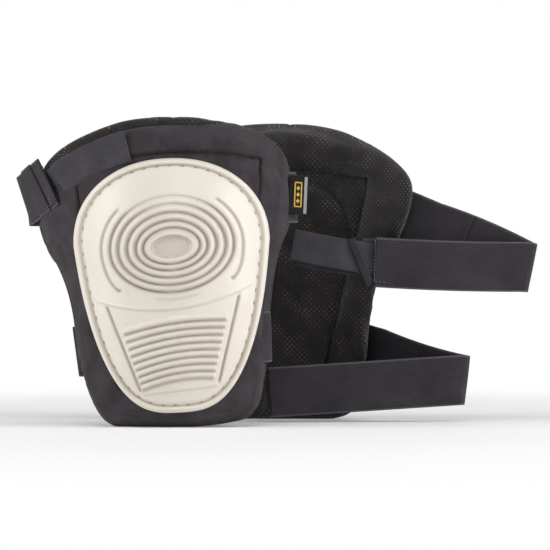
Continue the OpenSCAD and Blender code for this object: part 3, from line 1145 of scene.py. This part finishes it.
def make_left_upper_tab(pad):
    """The hook tab at the end of the upper strap: the tape, the layer behind it, its neck and
    the fold of elastic that lies over them aslant."""
    def hang(word, points, width=TAB_W, material="tab", count=50, slant=None):
        run = polyline(points, count)
        up = square_up(run[-1] - run[0]) if slant is None else np.array(slant)
        band = tape("upper", word, run, np.repeat(up[None], count, 0), pad, width, material, 0.15)
        bend_at(band)

    hang("hook_tape",
         [(80.0, 74.0, -12.6), (72.0, 75.0, -11.4), (40.0, 77.6, -6.2), (9.6, 78.2, -0.2)])
    hang("tab_lining",
         [(72.0, 72.2, -14.0), (62.0, 72.0, -13.0), (40.0, 73.0, -10.0), (14.0, 75.6, -4.0)],
         material="elastic")
    hang("tab_neck", [(80.0, 74.2, -10.2), (74.0, 73.6, -10.2), (65.0, 73.6, -9.2)], 29.0,
         count=20)
    hang("tab_fold",
         [(57.5, 77.6, 4.4), (61.0, 78.6, -4.4), (69.0, 77.2, -24.0), (72.6, 76.2, -33.0)],
         6.2, "elastic", 30, (1.0, 0.0, 0.36))


def make_left_lower_tab(pad):
    """The lower strap's hook tab, folded out of sight behind the strap's end."""
    run = polyline([
        (-7.0, 75.6, -118.5), (-11.6, 75.1, -118.7), (-11.6, 72.8, -118.7),
        (-4.0, 71.8, -118.4), (26.0, 71.6, -116.6),
    ], 50)
    up = np.repeat(np.array([[0.06, 0, 1.0]]), len(run), 0)
    tab = tape("lower", "hook_tape", run, up, pad)
    bend_at(tab)


def make_right_upper(pad):
    """The right pad's upper strap: round the back and over the far edge to the front, where
    its end is doubled by a hem."""
    top = 31.0
    centre = polyline([
        (89.0, 42.0, top), (92.6, 45.2, top), (96.6, 50.0, top), (98.6, 55.5, top),
        (98.6, 61.0, top), (96.0, 67.6, top), (88.0, 69.4, top + 0.3), (0.0, 74.5, top + 4.0),
        (-105.0, 79.9, top + 7.6), (-111.0, 80.2, top + 7.9),
    ], 130)
    across = blend_up(lean_up(0), lean_up(-15), np.linspace(-3, 1, len(centre)))
    webbing("right_upper_strap_back", centre, across, ["anchor", "arm"], pad, pad.body,
            ripple=0.4)
    centre = polyline([
        (-110.0, 80.2, top + 7.9), (-115.2, 80.0, 39.0), (-117.2, 76.4, 39.1),
        (-115.6, 71.4, 39.6), (-108.6, 59.4, 43.6), (-94.6, 35.4, 52.6),
    ], 70)
    across = blend_up(lean_up(-15), lean_up(-19), np.linspace(-0.3, 1.3, len(centre)))
    hem = slice(34, -15)
    under = centre[hem] + np.array([-1.5, -1.0, 0.0])
    layers = (("loop", centre, across, STRAP_T), ("hem", under, across[hem], STRAP_T - 0.6))
    for word, line, up, thick in layers:
        layer = webbing("right_upper_strap_" + word, line, up, ["return"], pad, thick=thick,
                        ripple=0.0)
        bend_at(layer)


def make_right_upper_tab(pad):
    """The right pad's hook tab, fastened to the front fabric, and its neck under the strap."""
    def fasten(word, line, lifted, width):
        centre = behind(line[:, 0], line[:, 1], -lifted)
        slope = np.gradient(line, axis=0)
        up = np.stack([-slope[:, 1], 0 * lifted, slope[:, 0]], 1)
        tab = tape("upper", word, centre, up, pad, width, ripple=0.1)
        bend_at(tab)

    t = np.linspace(0, 1, 80)
    fasten("hook_tape", tab_line(t), 2.9 + 2.6 * smooth((0.35 - t) / 0.35), TAB_W)
    t = np.linspace(0, 1, 30)
    neck = np.array([-96.5, 48.6]) * (1 - t[:, None]) + np.array([-80.0, 57.2]) * t[:, None]
    fasten("tab_neck", neck, 2.5 + 0 * t, TAB_W - 3)


def make_right_lower(pad):
    """The right pad's lower strap: behind the pad, folded at the far edge, and led back."""
    level = -77.0
    centre = polyline([
        (65.0, 21.5, level), (69.5, 24.5, level), (72.8, 29.0, level), (73.0, 45.0, level),
        (71.6, 60.0, level), (64.0, 61.0, level - 0.3), (-5.0, 63.4, level - 2.8),
        (-73.6, 65.6, level - 5.2), (-77.1, 65.7, level - 5.3),
    ], 110)
    across = blend_up(lean_up(0), lean_up(-5), np.linspace(-3, 1, len(centre)))
    webbing("right_lower_strap_back", centre, across, ["anchor", "arm"], pad, pad.body,
            ripple=0.4)
    centre = polyline([
        (-76.1, 65.7, level - 5.3), (-79.6, 65.8, level - 5.3), (-81.4, 68.7, level - 5.3),
        (-79.6, 71.6, level - 5.3), (-73.6, 71.7, level - 5.3), (-22.6, 72.4, level - 4.9),
    ], 70)
    across = blend_up(lean_up(-5), lean_up(0), np.linspace(-0.4, 1.6, len(centre)))
    loop = webbing("right_lower_strap_loop", centre, across, ["return"], pad, ripple=0.0)
    bend_at(loop)


def make_right_lower_tab(pad):
    """The right pad's lower hook tab, folded back on the strap's end."""
    level = -82.0
    centre = polyline([
        (-26.0, 73.4, level + 0.1), (-21.0, 73.6, level + 0.1), (-19.6, 75.4, level + 0.1),
        (-21.6, 76.9, level + 0.1), (-30.0, 76.9, level), (-62.5, 76.9, level - 0.2),
    ], 60)
    tab = tape("lower", "hook_tape", centre, np.repeat(lean_up(0)[None], 60, 0), pad)
    bend_at(tab)


def end_seam(pad, level, middle, across, length, run, boxed):
    """Stitches across a strap's end, and a box of them that reaches boxed along run."""
    run = np.array(run, float)
    run /= np.linalg.norm(run)
    across = across - run * np.dot(across, run)
    across /= np.linalg.norm(across)
    out = np.cross(run, across)
    out = -out if out[1] < 0 else out
    count = int(length / SEAM_PITCH)
    places = [middle + across * ((k + 0.5) / count - 0.5) * length for k in range(count)]
    runs = [across] * count
    steps = int(abs(boxed) / SEAM_PITCH)
    for edge in (-0.5, 0.5):
        for k in range(steps):
            places.append(middle + across * edge * length + run * boxed * (k + 0.5) / steps)
            runs.append(run)
    seam = stitches(pad.name(f"{level}_end_thread"), np.array(places), np.array(runs),
                    np.repeat(out[None], len(places), 0), SEAM_STITCH, pad)
    dress(seam, MATERIALS["grey_thread"], pad.name(f"{level}_return"),
          [pad.name(f"{level}_tab_stitching")])


def make_strap_seams(right, left):
    """The seams between the four straps' ends and their tabs."""
    up = square_up(np.array([-1.0, 0, 0.03]))
    end_seam(left, "upper", (76.2, 78.0, -12.9), up, 34, run=(1, -0.018, -0.03), boxed=9.5)
    up = square_up(np.array([-1.0, 0, -0.06]))
    end_seam(left, "lower", (60.5, 75.9, -114.4), up, 32, run=(1, -0.018, 0.06), boxed=11.0)
    run = (0.5, -0.81, 0.31)
    end_seam(right, "upper", (-96.6, 42.4, 50.2), square_up(np.array(run)), 33, run, boxed=-7.0)
    end_seam(right, "lower", (-27.0, 73.6, -82.0), lean_up(0), 30, run=(1, 0.01, 0), boxed=-9.0)


def make_tag(pad):
    """The folded woven tag in the right pad's edge seam, with a plain golden motif."""
    a, b = np.array([93.0, 42.6, 33.2]), np.array([107.6, 46.2, 31.8])
    ahead = (b - a) / np.linalg.norm(b - a)
    across = square_up(b - a)
    out = np.cross(ahead, across)
    out = -out if out[1] > 0 else out
    run = polyline([a, (a + b) / 2 + out * 0.3, b], 30)
    tag = ribbon(pad.name("woven_tag"), run, np.repeat(across[None], 30, 0), 30.5, 1.1, pad,
                 edge_round=0.45)
    dress(tag, MATERIALS["tag"], pad.body, [pad.name("side_tag")])

    def sew(name, corners, material):
        """A thin closed patch on the tag's face; corners are along and across it."""
        base = a + ahead * 7.6 + out * 0.95
        pts = [base + ahead * u + across * v for u, v in corners]
        pts += [q + out * 0.25 for q in pts]
        n = len(corners)
        faces = [tuple(range(n)), tuple(range(2 * n - 1, n - 1, -1))]
        faces += [(i, i + n, (i + 1) % n + n, (i + 1) % n) for i in range(n)]
        obj = new_mesh(pad.name(name), pad.place(np.array(pts)), faces, smooth_faces=False)
        dress(obj, MATERIALS[material], pad.body)

    def bar(name, u, v, half_u, half_v, material="gold_thread"):
        corners = [(u - half_u, v - half_v), (u - half_u, v + half_v),
                   (u + half_u, v + half_v), (u + half_u, v - half_v)]
        sew(name, corners, material)

    for k, side in enumerate((-1, 1)):
        bar(f"tag_frame_side_{k}", -0.4 + side * 2.6, 0.4, 0.5, 9.4)
        bar(f"tag_frame_end_{k}", -0.4, 0.4 + side * 9.4, 3.1, 0.5)
    for k, v in enumerate((-4.6, 0.4, 5.4)):
        sew(f"tag_diamond_{k}", [(-1.9, v), (-0.4, v + 1.9), (1.1, v), (-0.4, v - 1.9)],
            "gold_thread")
    bar("tag_edge", 5.6, 0.0, 1.2, 14.4, "pale_thread")


# ---------------------------------------------------------------- the object

for pad in PADS.values():
    make_cap(pad)
    make_front(pad)
    make_lining(pad)
    make_cushion(pad)
    make_frame_thread(pad)

for make_piece in (make_left_upper, make_left_upper_tab, make_left_lower, make_left_lower_tab):
    make_piece(PADS["left"])
for make_piece in (make_right_upper, make_right_upper_tab, make_right_lower,
                   make_right_lower_tab):
    make_piece(PADS["right"])
make_strap_seams(PADS["right"], PADS["left"])
make_tag(PADS["right"])


# ---------------------------------------------------------------- stage, light and camera

def make_floor():
    """A pale floor that fades into the white surroundings where the camera sees it far off."""
    half = 6.0
    corners = [(-half, -half, 0), (half, -half, 0), (half, half, 0), (-half, half, 0)]
    floor = new_mesh("floor", corners, [(0, 1, 2, 3)], smooth_faces=False)
    mat, tree, node = shader("pale_floor", Roughness=0.9, **{"Specular IOR Level": 0.1})
    node.inputs["Base Color"].default_value = (0.93, 0.93, 0.93, 1)
    g = Graph(tree)
    far = g.add("ShaderNodeVectorMath", operation="LENGTH")
    g.link(g.add("ShaderNodeTexCoord").outputs["Object"], far.inputs[0])
    away = g.add("ShaderNodeMapRange", interpolation_type="SMOOTHSTEP")
    g.link(far.outputs["Value"], away.inputs["Value"])
    for key, value in (("From Min", 0.25), ("From Max", 0.8), ("To Min", 0.12), ("To Max", 1.0)):
        away.inputs[key].default_value = value
    glow = g.add("ShaderNodeEmission")
    mixed = g.add("ShaderNodeMixShader")
    g.link(node.outputs[0], mixed.inputs[1])
    g.link(glow.outputs[0], mixed.inputs[2])
    seen = g.add("ShaderNodeLightPath").outputs["Is Camera Ray"]
    g.link(g.math("MULTIPLY", away.outputs["Result"], seen), mixed.inputs[0])
    out = next(n for n in tree.nodes if n.type == "OUTPUT_MATERIAL")
    g.link(mixed.outputs[0], out.inputs["Surface"])
    floor.data.materials.append(mat)


def area_light(name, place, size, power):
    """A soft box that faces the middle of the pair; the camera doesn't see it."""
    data = bpy.data.lights.new(name, "AREA")
    data.shape = "RECTANGLE"
    data.size, data.size_y = size
    data.energy = power
    lamp = bpy.data.objects.new(name, data)
    lamp.location = place
    toward = Vector((0, 0, 0.12)) - Vector(place)
    lamp.rotation_euler = toward.to_track_quat("-Z", "Y").to_euler()
    lamp.visible_camera = False
    bpy.context.scene.collection.objects.link(lamp)


def make_light():
    """White surroundings that light the pair only softly, and four large soft boxes."""
    world = bpy.data.worlds.new("studio")
    world.use_nodes = True
    g = Graph(world.node_tree)
    mixed = g.add("ShaderNodeMixShader")
    g.link(g.add("ShaderNodeLightPath").outputs["Is Camera Ray"], mixed.inputs[0])
    soft, white = world.node_tree.nodes["Background"], g.add("ShaderNodeBackground")
    for i, (sky, strength) in enumerate(((soft, 0.3), (white, 1.0))):
        sky.inputs["Color"].default_value = (1, 1, 1, 1)
        sky.inputs["Strength"].default_value = strength
        g.link(sky.outputs[0], mixed.inputs[i + 1])
    g.link(mixed.outputs[0], world.node_tree.nodes["World Output"].inputs["Surface"])
    bpy.context.scene.world = world
    area_light("left_box", (-1.6, -0.6, 0.6), (0.8, 1.2), 18)
    area_light("right_box", (1.6, -0.6, 0.6), (0.8, 1.2), 25)
    area_light("top_box", (0.0, -0.8, 1.6), (1.2, 0.7), 8)
    area_light("back_box", (0.0, 1.7, 0.9), (1.2, 0.8), 4)


def make_camera():
    """Level, in front of the right pad, from a few metres with a long lens."""
    distance, view_width = 2.4, 0.4263     # metres; the width is what fills the picture
    data = bpy.data.cameras.new("camera")
    data.sensor_width = 36.0
    data.lens = data.sensor_width * distance / view_width
    cam = bpy.data.objects.new("camera", data)
    cam.location = (-0.0065, -0.07 - distance, 0.1178)
    cam.rotation_euler = (math.pi / 2, 0, 0)
    bpy.context.scene.collection.objects.link(cam)
    bpy.context.scene.camera = cam


make_floor()
make_light()
make_camera()
bpy.context.scene.view_settings.view_transform = "Standard"
